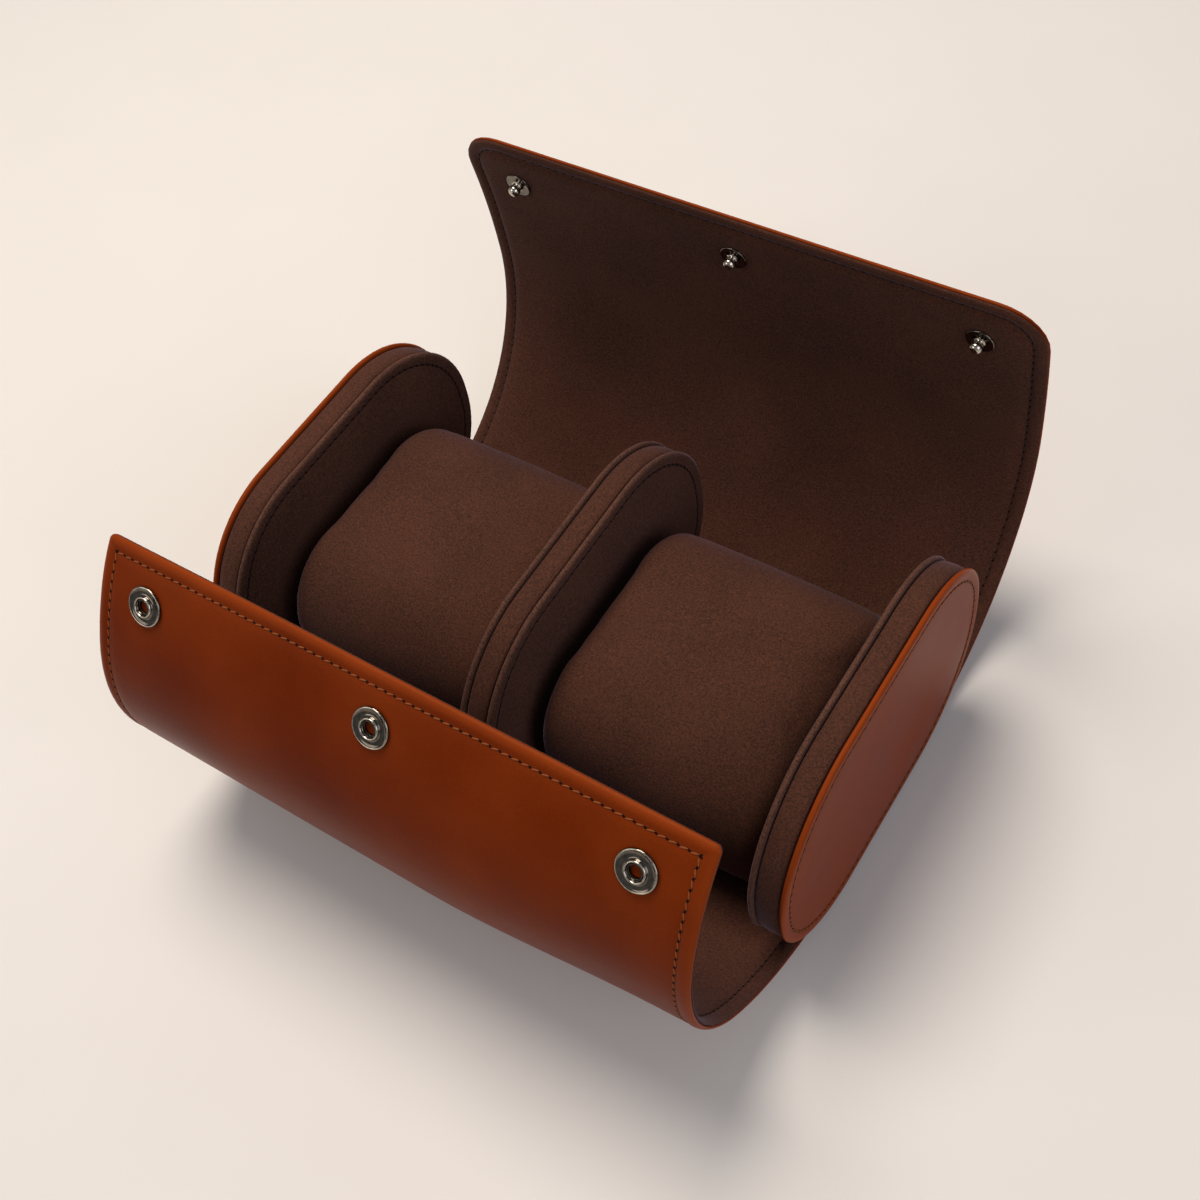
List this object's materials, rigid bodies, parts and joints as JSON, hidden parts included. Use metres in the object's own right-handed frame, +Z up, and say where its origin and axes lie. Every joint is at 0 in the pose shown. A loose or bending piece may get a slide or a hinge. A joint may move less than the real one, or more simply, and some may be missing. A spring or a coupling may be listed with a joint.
{
  "type": "watch travel case",
  "caption": "Open leather watch travel case lined with microsuede: flexible lid, front flap, rounded end caps, divider, cushions and snap fasteners.",
  "frame": {"origin": "on the underside of the leather wrap, in the middle of its flat base, halfway between the end caps", "axes": "+X along the case to the right, -Y the front with the snap sockets, +Z up"},
  "size_m": [0.201, 0.2019, 0.1255],
  "materials": {
    "leather": "smooth cognac leather, satin",
    "microsuede": "brown microsuede, matt with a soft sheen",
    "board": "grey board",
    "foam": "cream upholstery foam",
    "nickel": "polished nickel"
  },
  "bodies": {
    "case": {"cushion_left_foam": "foam", "cushion_left_left_end": "microsuede", "cushion_left_right_end": "microsuede", "cushion_left_sleeve": "microsuede", "cushion_right_foam": "foam", "cushion_right_left_end": "microsuede", "cushion_right_right_end": "microsuede", "cushion_right_sleeve": "microsuede", "divider_core": "board", "divider_gusset": "microsuede", "divider_left_panel": "microsuede", "divider_right_panel": "microsuede", "end_cap_left_core": "board", "end_cap_left_gusset": "microsuede", "end_cap_left_inner_panel": "microsuede", "end_cap_left_leather_panel": "leather", "end_cap_right_core": "board", "end_cap_right_gusset": "microsuede", "end_cap_right_inner_panel": "microsuede", "end_cap_right_leather_panel": "leather", "snap_socket_centre": "nickel", "snap_socket_left": "nickel", "snap_socket_right": "nickel", "socket_eyelet_centre": "nickel", "socket_eyelet_left": "nickel", "socket_eyelet_right": "nickel", "socket_spring_centre": "nickel", "socket_spring_left": "nickel", "socket_spring_right": "nickel", "wrap_board_base": "board", "wrap_leather_base": "leather", "wrap_lining_base": "microsuede"},
    "lid_lower": {"wrap_board_lid_lower": "board", "wrap_leather_lid_lower": "leather", "wrap_lining_lid_lower": "microsuede"},
    "lid_upper": {"snap_cap_centre": "nickel", "snap_cap_left": "nickel", "snap_cap_right": "nickel", "snap_stud_centre": "nickel", "snap_stud_left": "nickel", "snap_stud_right": "nickel", "wrap_board_lid_upper": "board", "wrap_leather_lid_upper": "leather", "wrap_lining_lid_upper": "microsuede"}
  },
  "joints": [
    {"name": "lid_lower_bend", "type": "hinge", "parent": "case", "child": "lid_lower", "pos_m": [0, 0.04912, 0.00505], "axis": [1, 0, 0], "range_deg": [-10, 39]},
    {"name": "lid_upper_bend", "type": "hinge", "parent": "lid_lower", "child": "lid_upper", "pos_m": [0, 0.09995, 0.06668], "axis": [1, 0, 0], "range_deg": [-10, 39]}
  ],
  "couplings": [
    {"joint": "lid_upper_bend", "follows": "lid_lower_bend", "ratio": 1}
  ]
}
